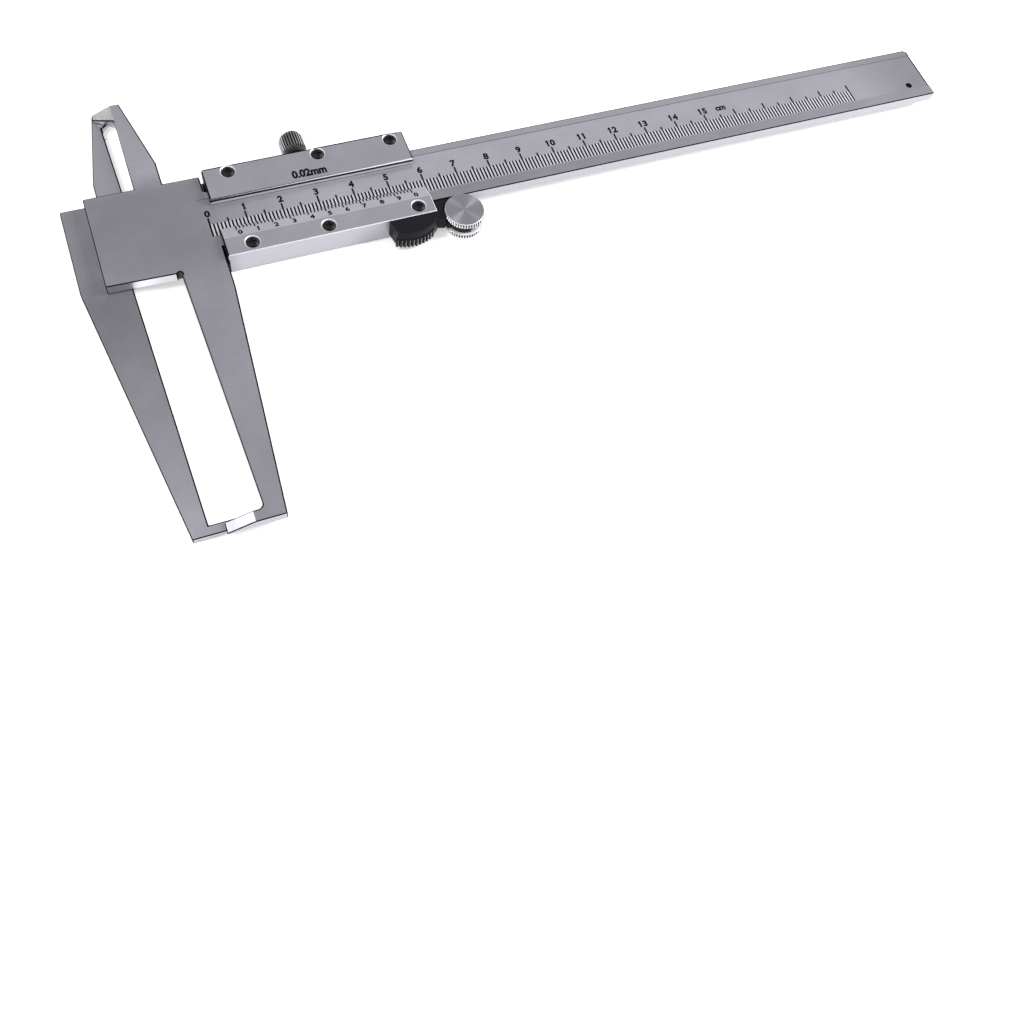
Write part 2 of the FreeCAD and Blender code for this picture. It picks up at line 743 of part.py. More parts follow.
# ---------------------------------------------------------------- assemble, check and write
sub_parts = [
    make_main_beam(),
    make_slider_frame(),
    make_upper_cover(),
    make_vernier_plate(),
    make_plate_screws("cover_screws", "cover", "cover_screw_y"),
    make_plate_screws("vernier_plate_screws", "plate", "plate_screw_y"),
    make_gib_strip(),
    make_gib_set_screws(),
    make_lock_screw(),
    make_lock_pad(),
    make_thumb_rest(),
    make_thumb_rest_screws(),
    disc("roller_top_disc", "roller_low + disc_thick + disc_gap", blind=True),
    disc("roller_bottom_disc", "roller_low", blind=False),
    make_roller_axle(),
    make_roller_bush(),
    make_roller_washers(),
]
doc.recompute()

for thing in doc.Objects:
    faults = [state for state in thing.State if state in ("Invalid", "Error")]
    if faults:
        raise RuntimeError(f"{thing.Label}: {faults}")
for part in sub_parts:
    if part.Shape.isNull() or not part.Shape.isValid():
        raise RuntimeError(f"{part.Label}: no valid shape")
for part in sub_parts:
    part.Shape.exportStep(f"parts/{part.Label}.step")
    box = part.Shape.BoundBox
    print(f"{part.Label:22s} solids {len(part.Shape.Solids)} volume {part.Shape.Volume:9.1f}",
          f"x {box.XMin:7.2f} {box.XMax:7.2f} y {box.YMin:7.2f} {box.YMax:7.2f}",
          f"z {box.ZMin:6.2f} {box.ZMax:6.2f}")
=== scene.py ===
import json
import math

import bmesh
import bpy
from mathutils import Matrix, Vector


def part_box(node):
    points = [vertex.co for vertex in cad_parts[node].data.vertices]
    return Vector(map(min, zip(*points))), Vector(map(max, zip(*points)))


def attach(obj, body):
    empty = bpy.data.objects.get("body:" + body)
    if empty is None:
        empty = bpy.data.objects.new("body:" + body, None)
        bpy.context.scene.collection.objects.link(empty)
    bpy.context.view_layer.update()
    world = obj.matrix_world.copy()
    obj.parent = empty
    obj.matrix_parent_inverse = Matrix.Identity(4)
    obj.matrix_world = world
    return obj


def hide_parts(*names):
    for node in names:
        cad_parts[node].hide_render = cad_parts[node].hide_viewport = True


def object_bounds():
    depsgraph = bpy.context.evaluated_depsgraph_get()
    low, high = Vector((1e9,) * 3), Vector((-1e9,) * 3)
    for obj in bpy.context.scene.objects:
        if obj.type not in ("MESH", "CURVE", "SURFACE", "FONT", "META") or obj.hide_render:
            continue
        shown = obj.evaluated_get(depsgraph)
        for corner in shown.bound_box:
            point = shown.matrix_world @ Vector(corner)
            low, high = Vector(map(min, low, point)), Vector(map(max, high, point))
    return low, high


# A vernier caliper of satin stainless steel, lying on its slider's back on a white table.
# Everything is in metres in the CAD frame: +X along the beam, +Y across it, +Z out of the front.

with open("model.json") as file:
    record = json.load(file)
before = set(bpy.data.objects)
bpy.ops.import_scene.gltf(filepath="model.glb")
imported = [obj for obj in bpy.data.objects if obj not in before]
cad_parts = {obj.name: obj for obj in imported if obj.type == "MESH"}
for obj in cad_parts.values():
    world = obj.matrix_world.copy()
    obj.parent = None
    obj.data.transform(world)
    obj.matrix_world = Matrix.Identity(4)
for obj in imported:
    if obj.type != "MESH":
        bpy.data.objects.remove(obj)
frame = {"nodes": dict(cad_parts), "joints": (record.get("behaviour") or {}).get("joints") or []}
cad_low, cad_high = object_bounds()
MM = 0.001


# ---------------------------------------------------------------- node helpers
def new_material(name, base, metallic, roughness, anisotropy=0.0):
    """A Principled material with its uniform values on the shader's own sockets."""
    material = bpy.data.materials.new(name)
    material.use_nodes = True
    shader = material.node_tree.nodes["Principled BSDF"]
    shader.inputs["Base Color"].default_value = (*base, 1.0)
    shader.inputs["Metallic"].default_value = metallic
    shader.inputs["Roughness"].default_value = roughness
    shader.inputs["Anisotropic"].default_value = anisotropy
    return material, shader


def add(material, kind, **sockets):
    """A node whose named inputs get the given values."""
    node = material.node_tree.nodes.new(kind)
    for name, value in sockets.items():
        node.inputs[name.replace("_", " ")].default_value = value
    return node


def join(material, source, output, target, socket):
    material.node_tree.links.new(source.outputs[output], target.inputs[socket])


def place_in_object(material, scale=(1.0, 1.0, 1.0), location=(0.0, 0.0, 0.0)):
    """Object coordinates, which stay with the piece when it moves, stretched by scale."""
    coordinates = add(material, "ShaderNodeTexCoord")
    mapping = add(material, "ShaderNodeMapping", Scale=scale, Location=location)
    join(material, coordinates, "Object", mapping, "Vector")
    return mapping


def noise(material, mapping, scale, detail=3.0):
    texture = add(material, "ShaderNodeTexNoise", Scale=scale, Detail=detail, Roughness=0.55)
    join(material, mapping, "Vector", texture, "Vector")
    return texture


def remap(material, texture, low, high):
    """The texture's middle range, spread from low to high."""
    node = add(material, "ShaderNodeMapRange",
               From_Min=0.3, From_Max=0.7, To_Min=low, To_Max=high)
    join(material, texture, "Fac", node, "Value")
    return node


def colour_mix(material, **sockets):
    """A node that mixes colours, with its two colour inputs and its colour output."""
    mix = add(material, "ShaderNodeMix", **sockets)
    mix.data_type = "RGBA"
    first, second = [socket for socket in mix.inputs if socket.type == "RGBA"]
    result = next(socket for socket in mix.outputs if socket.type == "RGBA")
    return mix, first, second, result


def tint(material, shader, factor, dark, light):
    """Base colour between two tones, by a 0 to 1 factor."""
    mix, first, second, result = colour_mix(material)
    first.default_value = (*dark, 1.0)
    second.default_value = (*light, 1.0)
    join(material, factor, "Result", mix, "Factor")
    material.node_tree.links.new(result, shader.inputs["Base Color"])


def bump(material, shader, source, output, strength, depth):
    node = add(material, "ShaderNodeBump", Strength=strength, Distance=depth)
    join(material, source, output, node, "Height")
    join(material, node, "Normal", shader, "Normal")


# ---------------------------------------------------------------- materials
def brushed_steel(name, tone, roughness, grain=(0.06, 1.0, 1.0), spread=0.07, metallic=1.0):
    """Steel with fine grinding lines; grain squeezes the noise along the grinding direction, and
    spread is how far the tone strays either way."""
    line_share, patch_share, wear = 0.55, 0.45, 0.06
    material, shader = new_material(name, tone, metallic, roughness)
    lines = noise(material, place_in_object(material, grain), 5200.0, detail=4.0)
    patches = noise(material, place_in_object(material), 90.0, detail=5.0)
    together = add(material, "ShaderNodeMath")
    together.operation = "MULTIPLY_ADD"
    line_tone = remap(material, lines, 0.0, line_share)
    patch_tone = remap(material, patches, 0.0, patch_share)
    join(material, line_tone, "Result", together, 0)
    together.inputs[1].default_value = 1.0
    join(material, patch_tone, "Result", together, 2)
    factor = add(material, "ShaderNodeMapRange",
                 From_Min=0.0, From_Max=1.0, To_Min=0.0, To_Max=1.0)
    join(material, together, "Value", factor, "Value")
    dark = [part * (1.0 - spread) for part in tone]
    light = [min(1.0, part * (1.0 + spread)) for part in tone]
    tint(material, shader, factor, dark, light)
    rough = remap(material, patches, roughness - wear, roughness + wear)
    join(material, rough, "Result", shader, "Roughness")
    bump(material, shader, lines, "Fac", 0.35, 0.006 * MM)
    return material


def fade(material, axis, stops):
    """Painted light and shade: scales the base colour along one axis of the piece by (place in mm,
    share) stops.
    """
    shader = material.node_tree.nodes["Principled BSDF"]
    first, last = stops[0][0], stops[-1][0]
    split = add(material, "ShaderNodeSeparateXYZ")
    join(material, place_in_object(material), "Vector", split, "Vector")
    place = add(material, "ShaderNodeMapRange", From_Min=first * MM, From_Max=last * MM)
    join(material, split, axis, place, "Value")
    ramp = add(material, "ShaderNodeValToRGB")
    elements = ramp.color_ramp.elements
    for number, (position, share) in enumerate(stops):
        at = (position - first) / (last - first)
        if 0 < number < len(stops) - 1:
            element = elements.new(at)
        else:
            element = elements[0 if number == 0 else -1]
        element.position = at
        element.color = (share, share, share, 1.0)
    join(material, place, "Result", ramp, "Fac")
    mix, first_colour, second_colour, result = colour_mix(material, Factor=1.0)
    mix.blend_type = "MULTIPLY"
    base = shader.inputs["Base Color"].links[0].from_socket
    material.node_tree.links.new(base, first_colour)
    material.node_tree.links.new(ramp.outputs["Color"], second_colour)
    material.node_tree.links.new(result, shader.inputs["Base Color"])


def turned_steel(name, tone, roughness, axis_x, axis_y):
    """Steel faced on a lathe: rings round an upright axis, and the shine that follows them."""
    material, shader = new_material(name, tone, 1.0, roughness, anisotropy=0.85)
    tangent = add(material, "ShaderNodeTangent")
    tangent.direction_type = "RADIAL"
    tangent.axis = "Z"
    join(material, tangent, "Tangent", shader, "Tangent")
    centred = place_in_object(material, (1.0, 1.0, 0.0), location=(-axis_x, -axis_y, 0.0))
    radius = add(material, "ShaderNodeVectorMath")
    radius.operation = "LENGTH"
    join(material, centred, "Vector", radius, 0)
    rings = add(material, "ShaderNodeTexNoise", Scale=9000.0, Detail=2.0)
    rings.noise_dimensions = "1D"
    join(material, radius, "Value", rings, "W")
    dark = [0.9 * part for part in tone]
    tint(material, shader, remap(material, rings, 0.0, 1.0), dark, tone)
    bump(material, shader, rings, "Fac", 0.25, 0.004 * MM)
    return material


def grit_tint(material, shader, grit, dark, light):
    """Base colour that follows a noise from one tone to the other."""
    tint(material, shader, remap(material, grit, 0.0, 1.0), dark, light)


def bright_rim(name):
    """A painted highlight: near-white steel on chamfers and rims, as if catching light from every
    side.
    """
    material, shader = new_material(name, (0.95, 0.95, 0.96), 0.25, 0.4)
    grit = noise(material, place_in_object(material), 3000.0)
    grit_tint(material, shader, grit, (0.9, 0.9, 0.91), (0.98, 0.98, 0.99))
    return material


def black_oxide(name):
    material, shader = new_material(name, (0.01, 0.01, 0.011), 0.2, 0.42)
    shader.inputs["Specular IOR Level"].default_value = 0.2
    grit = noise(material, place_in_object(material), 4000.0)
    grit_tint(material, shader, grit, (0.005, 0.005, 0.006), (0.018, 0.018, 0.02))
    bump(material, shader, grit, "Fac", 0.3, 0.008 * MM)
    return material


def black_plastic(name):
    material, shader = new_material(name, (0.01, 0.01, 0.012), 0.0, 0.3)
    shader.inputs["Specular IOR Level"].default_value = 0.08
    grit = noise(material, place_in_object(material), 2600.0, detail=5.0)
    grit_tint(material, shader, grit, (0.006, 0.006, 0.008), (0.016, 0.016, 0.019))
    join(material, remap(material, grit, 0.24, 0.4), "Result", shader, "Roughness")
    bump(material, shader, grit, "Fac", 0.35, 0.02 * MM)
    return material


def worn_plastic(name):
    """Plastic painted grey and glossy along its ribs: a painted glint."""
    material, shader = new_material(name, (0.3, 0.3, 0.31), 0.0, 0.25)
    grit = noise(material, place_in_object(material), 1500.0)
    grit_tint(material, shader, grit, (0.01, 0.01, 0.012), (0.34, 0.34, 0.36))
    return material


def paint_fill(name):
    """Matt black, slightly uneven: the filling of engraved lines, and painted shade on the arrises.
    """
    material, shader = new_material(name, (0.004, 0.004, 0.005), 0.0, 0.85)
    shader.inputs["Specular IOR Level"].default_value = 0.05
    grit = noise(material, place_in_object(material), 5000.0)
    grit_tint(material, shader, grit, (0.002, 0.002, 0.003), (0.007, 0.007, 0.008))
    return material


def bronze(name):
    material, shader = new_material(name, (0.5, 0.32, 0.14), 1.0, 0.35)
    grit = noise(material, place_in_object(material, (0.1, 1.0, 1.0)), 3000.0)
    grit_tint(material, shader, grit, (0.4, 0.24, 0.1), (0.56, 0.37, 0.17))
    bump(material, shader, grit, "Fac", 0.3, 0.01 * MM)
    return material


ROLLER = next(joint for joint in frame["joints"] if joint["name"] == "thumb_roller_spin")
ROLLER_X, ROLLER_Y, _ = ROLLER["pos_m"]

PLATE = brushed_steel("satin_plate", (0.41, 0.402, 0.445), 0.34, metallic=0.6)
BACK = brushed_steel("slider_back", (0.41, 0.402, 0.445), 0.38,
                     grain=(1.0, 0.06, 1.0), metallic=0.6)
SCALE_FACE = brushed_steel("scale_face", (0.44, 0.432, 0.475), 0.34, metallic=0.6)
LINE_BAND = brushed_steel("line_band", (0.66, 0.652, 0.70), 0.34, metallic=0.6)
GUIDE = brushed_steel("guide_band", (0.38, 0.372, 0.412), 0.30, metallic=0.6)
COVER = brushed_steel("cover_face", (0.36, 0.352, 0.392), 0.36, metallic=0.6)
STRIP = brushed_steel("vernier_strip", (0.56, 0.552, 0.594), 0.34, spread=0.1, metallic=0.6)
# Paler copies of the plate steel on the slanted faces of the nibs and the jaws' feet stand in for
# their glints: painted highlight.
NIB = brushed_steel("nib_wedge_glint", (0.62, 0.61, 0.64), 0.3,
                    grain=(0.3, 1.0, 1.0), spread=0.8, metallic=0.4)
FOOT = brushed_steel("foot_wedge_glint", (0.84, 0.83, 0.87), 0.3, spread=0.15, metallic=0.6)
# Pale matt steel for the lower part of the cover's side beside the scale: painted light.
PAINTED_LIGHT_SIDE = brushed_steel("painted_light_side", (0.72, 0.715, 0.75), 0.5, metallic=0.0)
# A paler copy of the side steel for the head's sides: painted light.
PAINTED_LIGHT_HEAD_SIDE = brushed_steel("head_side_painted_light", (0.70, 0.69, 0.74), 0.34)
GROUND = brushed_steel("ground_side", (0.40, 0.392, 0.43), 0.34)
# Near-black steel for sides in shade: painted shade on faces that look to -X, on the walls of holes
# and of the scale's recess, on the cover's side beside the scale and on the lock screw's shank and
# collar.
PAINTED_SHADE_SIDE = brushed_steel("painted_shade_side", (0.03, 0.03, 0.032), 0.45, metallic=0.5)
# Matt black on chamfers and thin bands along edges: painted shade.
PAINTED_EDGE_SHADE = paint_fill("painted_edge_shade")
# Near-white on chamfers, rims and bands: painted highlight.
PAINTED_HIGHLIGHT_EDGE = bright_rim("painted_highlight_edge")
# Pale steel for the knurls' crests and the roller's axle; on the crests the paleness is painted
# highlight, set against the painted shade of the grooves.
KNURL = brushed_steel("knurled_steel", (0.85, 0.845, 0.87), 0.26, metallic=0.7)
LOCK_KNURL = brushed_steel("lock_knurl", (0.66, 0.655, 0.68), 0.28)
# Near-black steel in the knurls' grooves and one flank of each tooth: painted shade.
KNURL_GROOVE_SHADE = brushed_steel("knurl_groove_shade", (0.01, 0.01, 0.011), 0.5, metallic=0.3)
TURNED = turned_steel("turned_face", (0.41, 0.40, 0.43), 0.32, ROLLER_X, ROLLER_Y)
SCREW = black_oxide("black_oxide")
PLASTIC = black_plastic("black_plastic")
# Painted glint on the crests of the thumb rest's ribs.
RIB_GLINT = worn_plastic("painted_rib_glint")
FILL = paint_fill("engraving_fill")
BRONZE = bronze("bronze")

# Painted light and shade on the steel: its tone scaled along the jaws (Y) and along the beam (X),
# darker near the head as if in its shadow and towards the beam's far end, as (place in mm, share).
fade(BACK, "Y", ((-75, 0.83), (-40, 0.66), (-8, 0.51), (3, 0.69), (22, 0.71), (28, 0.9)))
fade(PLATE, "Y", ((-75, 0.69), (-45, 0.78), (-14, 0.805), (2, 0.66), (22, 0.66), (29, 0.98)))
fade(SCALE_FACE, "X", ((-2, 0.61), (12, 0.85), (28, 1.02), (110, 0.92), (203, 0.79), (224, 0.56)))
fade(GUIDE, "X", ((0, 1.0), (200, 0.84), (224, 0.66)))


# ---------------------------------------------------------------- mesh helpers
WELD = 0.001 * MM                    # vertices this close are one
CUT_REACH = 1e-7                     # metres: vertices this close to a cutting plane lie on it
MERGE_TURN = math.radians(0.5)       # facets that turn less are one flat face
SHARP_TURN = math.radians(32)        # edges that turn more get a chamfer
CRISP_TURN = math.radians(0.6)       # edges of large faces and of a finish stay crisp above this
SMOOTH_TURN = math.radians(24)       # other edges do above this
LARGE_FACE = 12 * MM * MM
SQUARE, LEANING = 0.99, 0.5          # shares of a normal along an axis
LEVEL = 0.02 * MM                    # faces this close in height are level
HAIR = 0.01 * MM                     # the same for vertices
BAND = 0.17 * MM                     # band of painted shade along an edge of a front face
FACING = 0.3                         # an edge looks to +X or +Y from this share up


def finish_piece(name, mesh, materials, body, nodes=()):
    """Links a mesh as a piece that rides on a body and stands for the given CAD nodes."""
    for material in materials:
        mesh.materials.append(material)
    piece = bpy.data.objects.new(name, mesh)
    bpy.context.scene.collection.objects.link(piece)
    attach(piece, body)
    if nodes:
        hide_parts(*nodes)


def mesh_from(bm, name):
    """A mesh that is smooth round its curves and crisp at large faces and changes of finish."""
    for face in bm.faces:
        face.smooth = True
    for edge in bm.edges:
        if len(edge.link_faces) != 2:
            continue
        turn = edge.calc_face_angle()
        one, other = edge.link_faces
        large = max(one.calc_area(), other.calc_area()) > LARGE_FACE
        crisp = large or one.material_index != other.material_index
        edge.smooth = turn < (CRISP_TURN if crisp else SMOOTH_TURN)
    mesh = bpy.data.meshes.new(name)
    bm.to_mesh(mesh)
    bm.free()
    return mesh


def merged_copy(node):
    """The CAD node's mesh as whole faces: doubled vertices joined and flat facets merged."""
    bm = bmesh.new()
    bm.from_mesh(frame["nodes"][node].data)
    bmesh.ops.remove_doubles(bm, verts=bm.verts, dist=WELD)
    bmesh.ops.dissolve_limit(bm, angle_limit=MERGE_TURN, verts=bm.verts, edges=bm.edges)
    for face in bm.faces:
        face.material_index = 0
    bm.normal_update()
    return bm


def sharp_edges(bm, first_edge_slot, test):
    """Sharp edges that pass the test and don't belong to a chamfer made earlier: the slots of
    the chamfers' materials start at first_edge_slot."""
    found = []
    for edge in bm.edges:
        if len(edge.link_faces) != 2 or edge.calc_face_angle() < SHARP_TURN:
            continue
        plain = all(face.material_index < first_edge_slot for face in edge.link_faces)
        if plain and test(edge):
            found.append(edge)
    return found


def break_edges(bm, materials, first_edge_slot, passes):
    """Chamfers sharp edges, one (test, width, material, segments) pass after another."""
    for test, width, material, segments in passes:
        bmesh.ops.bevel(
            bm, geom=sharp_edges(bm, first_edge_slot, test), offset=width, offset_type="OFFSET",
            segments=segments, profile=0.5, affect="EDGES", clamp_overlap=False,
            material=materials.index(material),
        )


def any_edge(edge):
    return True


def cut_flat(bm, point, normal, test):
    """Splits the faces that pass the test along a plane."""
    faces = [face for face in bm.faces if test(face)]
    around = {item for face in faces for item in (*face.verts, *face.edges)}
    bmesh.ops.bisect_plane(
        bm, geom=[*around, *faces], plane_co=point, plane_no=normal, dist=CUT_REACH,
    )


def dark_strip(bm, point, normal, test, dark):
    """Paints shade: gives the slot dark to what lies beyond a plane, on the faces that pass the
    test.
    """
    cut_flat(bm, point, normal, test)
    for face in bm.faces:
        if test(face) and (face.calc_center_median() - point).dot(normal) > 0:
            face.material_index = dark


def outline(bm, level, dark, keep=None):
    """A thin band of painted shade, the slot dark, on the front faces at a level, along their edges
    that look to +X or +Y, where keep agrees."""
    region = [
        face for face in bm.faces
        if face.normal.z > SQUARE and abs(face.calc_center_median().z - level) < LEVEL
        and face.material_index < dark
    ]
    made = bmesh.ops.inset_region(
        bm, faces=region, thickness=BAND, use_even_offset=False, use_boundary=True,
    )
    level_faces = set(region) | set(made["faces"])
    for face in made["faces"]:
        centre = face.calc_center_median()
        for edge in face.edges:
            if all(other in level_faces for other in edge.link_faces):
                continue
            along = edge.verts[1].co - edge.verts[0].co
            outward = Vector((along.y, -along.x, 0)).normalized()
            if outward.dot(edge.verts[0].co - centre) < 0:
                outward.negate()
            if max(outward.x, outward.y) > FACING and (keep is None or keep(centre)):
                face.material_index = dark


def softened(node, body, faces, edges, passes, choose=None, cut_height=None, last=None):
    """A CAD node with its arrises broken. faces and edges are the materials of its faces and of
    its chamfers, cut_height splits its sides, choose gives each face its material, and last gets
    the mesh and the slot of the painted-shade edges when the chamfers are done."""
    materials = faces + edges
    bm = merged_copy(node)
    if cut_height:
        around = bm.verts[:] + bm.edges[:] + bm.faces[:]
        bmesh.ops.bisect_plane(
            bm, geom=around, plane_co=(0, 0, cut_height), plane_no=(0, 0, 1), dist=CUT_REACH,
        )
    if choose:
        for face in bm.faces:
            face.material_index = materials.index(choose(face))
    break_edges(bm, materials, len(faces), passes)
    if last:
        last(bm, materials.index(PAINTED_EDGE_SHADE))
    finish_piece(f"{node}_finished", mesh_from(bm, node), materials, body, [node])


# ---------------------------------------------------------------- plates
beam_low, beam_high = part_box("main_beam")
plate_low, plate_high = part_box("vernier_plate")
cover_low, cover_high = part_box("upper_cover")
BEAM_TOP = beam_high.z
SCALE_TOP = BEAM_TOP - 0.12 * MM     # the bottom of the shallow recess that holds the scale
BACK_TOP = beam_low.z - 0.05 * MM    # the front of the slider's back plate
BEAM_END = beam_high.x - 0.1 * MM
RECESS_LOW, RECESS_HIGH = 3.2 * MM, 16.5 * MM  # the recess lies between these in Y
RECESS_LEFT = -8 * MM
BARE_LOW, BARE_HIGH = 2.9 * MM, 15.2 * MM      # and no band of painted shade between these
HEAD_RIGHT = 1.1 * MM                # the head's tones end here
HEAD_FOOT = -8 * MM                  # and the painted light on its sides ends here, where the jaws begin
RELIEF = (-11.15 * MM, -5.8 * MM)    # the small hole in the lower jaw's corner
HANG_HOLE = (220.8 * MM, 4.9 * MM)
HOLE_REACH = 1.3 * MM                # their walls lie within this
RELIEF_REACH = 2 * MM                # no band of painted shade within this of the relief
LINES_LEFT, LINES_RIGHT = -0.1 * MM, 200.1 * MM  # the paler band behind the scale's lines
LINES_LOW, LINES_HIGH = 3.65 * MM, 7.75 * MM
FAR_HALF = 100 * MM
PAST_LINES = 205 * MM
END_BAND = 0.45 * MM                 # band of painted shade along the beam's far end
CHAMFER = 0.24 * MM                  # chamfer of the beam and the slider, in painted shade
FRONT_CHAMFER = 0.2 * MM             # of the covers' outlines
SEAT_CHAMFER = 0.26 * MM             # rims of the screw seats, in painted highlight
COVER_LEFT_CHAMFER, PLATE_LEFT_CHAMFER = 0.36 * MM, 0.32 * MM
SEAT_EDGE = 0.9 * MM                 # edges of the rims are shorter than this
RAIL_FOOT = beam_low.z + 0.5 * MM    # the rails' ends lie above this
COVER_FOOT = plate_low.z - 0.05 * MM
SIDE_FOOT = plate_low.z + 0.2 * MM   # the covers' upper edges lie above this


def near(point, hole, reach):
    return math.hypot(point.x - hole[0], point.y - hole[1]) < reach


def beam_faces(face):
    """The material of a face of the beam, by where it lies and which way it looks."""
    centre = face.calc_center_median()
    if abs(face.normal.z) < LEANING:
        in_recess = RECESS_LOW < centre.y < RECESS_HIGH and centre.x <= BEAM_END
        # Painted shade: the walls of the relief and the hang hole, and the recess wall right of the
        # head.
        if near(centre, RELIEF, HOLE_REACH) or near(centre, HANG_HOLE, HOLE_REACH):
            return PAINTED_SHADE_SIDE
        if centre.z > SCALE_TOP and in_recess:
            return PAINTED_SHADE_SIDE if centre.x > HEAD_RIGHT else PLATE
        # The head's sides get the paler copy of the side steel: painted light.
        return PAINTED_LIGHT_HEAD_SIDE if centre.x < HEAD_RIGHT and centre.y > HEAD_FOOT else GROUND
    # Slanted faces of the nibs and feet get the paler copies: painted highlight.
    if LEANING < face.normal.z < SQUARE:
        return NIB if centre.y > 0 else FOOT
    if face.normal.z > 0 and centre.z < SCALE_TOP + LEVEL:
        beside = LINES_LEFT < centre.x < LINES_RIGHT
        return LINE_BAND if beside and LINES_LOW < centre.y < LINES_HIGH else SCALE_FACE
    return GUIDE if face.normal.z > 0 and centre.x > HEAD_RIGHT and centre.y > 0 else PLATE


def is_scale(face):
    """The faces at the bottom of the shallow recess."""
    return face.normal.z > SQUARE and abs(face.calc_center_median().z - SCALE_TOP) < LEVEL


def is_recess_wall(face):
    """The low wall along the top of the scale."""
    return face.normal.y < -SQUARE and face.calc_center_median().z > SCALE_TOP


def is_top(face):
    """The beam's faces level with its front."""
    return face.normal.z > SQUARE and face.calc_center_median().z > SCALE_TOP + LEVEL


def beside_recess(edge):
    """False for the edges of the shallow step round the scale and at the beam's end, which stay
    crisp."""
    if min(vert.co.x for vert in edge.verts) > BEAM_END:
        return False
    return not all(
        RECESS_LOW < vert.co.y < RECESS_HIGH and vert.co.z > SCALE_TOP - HAIR for vert in edge.verts
    )


def clear_of_recess(point):
    """True away from the edges that border the recess and from the relief in the jaw's corner."""
    if near(point, RELIEF, RELIEF_REACH):
        return False
    return not (BARE_LOW < point.y < BARE_HIGH and point.x > RECESS_LEFT)


def is_front_face(face):
    """The scale and the faces beside it near the beam's far end."""
    return face.calc_center_median().x > FAR_HALF and (is_scale(face) or is_top(face))


def end_face(bm):
    """The slanted side at the beam's far end."""
    far = [face for face in bm.faces if face.calc_center_median().x > PAST_LINES]
    return max(far, key=lambda face: face.normal.x * face.calc_area())


def make_beam():
    """Beam, head and fixed jaws, with a material of its own for each, among them painted light and
    painted shade.
    """
    faces = [PLATE, PAINTED_LIGHT_HEAD_SIDE, SCALE_FACE, GUIDE, GROUND, NIB, PAINTED_SHADE_SIDE, LINE_BAND, FOOT]
    materials = faces + [PAINTED_EDGE_SHADE]
    dark = len(faces)
    bm = merged_copy("main_beam")
    cut_flat(bm, (HEAD_RIGHT, 0, 0), (1, 0, 0), is_top)
    cut_flat(bm, (HEAD_RIGHT, 0, 0), (1, 0, 0), is_recess_wall)
    for x in (LINES_LEFT, LINES_RIGHT):
        cut_flat(bm, (x, 0, 0), (1, 0, 0), is_scale)
    for y in (LINES_LOW, LINES_HIGH):
        cut_flat(bm, (0, y, 0), (0, 1, 0), is_scale)
    for face in bm.faces:
        face.material_index = materials.index(beam_faces(face))
    break_edges(bm, materials, dark, [(beside_recess, CHAMFER, PAINTED_EDGE_SHADE, 1)])
    outline(bm, BEAM_TOP, dark, clear_of_recess)
    end = end_face(bm)
    normal = end.normal.copy()
    dark_strip(bm, end.calc_center_median() - normal * END_BAND, normal, is_front_face, dark)
    finish_piece("main_beam_finished", mesh_from(bm, "main_beam"), materials, "beam",
                 ["main_beam"])


def frame_sides(face):
    """The slider frame's flat faces, its sides, and the ends of its rails, the rails' ends at the
    head in painted shade.
    """
    if abs(face.normal.z) > LEANING:
        return BACK
    on_rail = face.calc_center_median().z > RAIL_FOOT
    return PAINTED_SHADE_SIDE if face.normal.x < -LEANING and on_rail else GROUND


def below_covers(edge):
    """Edges of the slider frame that aren't hidden under the covers on its rails."""
    return min(vert.co.z for vert in edge.verts) < COVER_FOOT


make_beam()
softened("slider_frame", "slider", [BACK, GROUND, PAINTED_SHADE_SIDE], [PAINTED_EDGE_SHADE],
         [(below_covers, CHAMFER, PAINTED_EDGE_SHADE, 1)], choose=frame_sides,
         last=lambda bm, dark: outline(bm, BACK_TOP, dark))

COVER_CUT = cover_high.z - 1.05 * MM  # the cover's side has painted shade above this and painted light below, beside the scale
COVER_BAND = 0.34 * MM                # its outline of painted shade, with the chamfer


def is_front(edge):
    """Edges level with the front of the covers."""
    return all(vert.co.z > cover_high.z - HAIR for vert in edge.verts)


def is_seat(edge):
    """Rims of the screw seats: short edges level with the front."""
    return is_front(edge) and edge.calc_length() < SEAT_EDGE


def is_lit(edge):
    """The front edge of the cover that faces the beam's scale."""
    return is_front(edge) and all(vert.co.y < cover_low.y + HAIR for vert in edge.verts)


def at_left(edge):
    """The left edges of the two covers, beside the head."""
    on_line = all(vert.co.x < cover_low.x + HAIR for vert in edge.verts)
    return on_line and all(vert.co.z > SIDE_FOOT for vert in edge.verts)


def cover_sides(face):
    """The cover's front and back, its sides, and the wall beside the scale, with painted shade near
    the front and painted light below; the side at the head has painted shade."""
    if abs(face.normal.z) > LEANING:
        return COVER
    if face.normal.x < -LEANING:
        return PAINTED_SHADE_SIDE
    if face.normal.y > -LEANING:
        return GROUND
    return PAINTED_SHADE_SIDE if face.calc_center_median().z > COVER_CUT else PAINTED_LIGHT_SIDE


def is_cover_front(face):
    return face.normal.z > SQUARE and face.calc_center_median().z > cover_high.z - HAIR


def cover_outline(bm, dark):
    """Thin strips of painted shade beside the chamfers along the cover's upper and right edges."""
    corner = cover_high - Vector((COVER_BAND, COVER_BAND, 0))
    for normal in (Vector((1, 0, 0)), Vector((0, 1, 0))):
        dark_strip(bm, corner, normal, is_cover_front, dark)


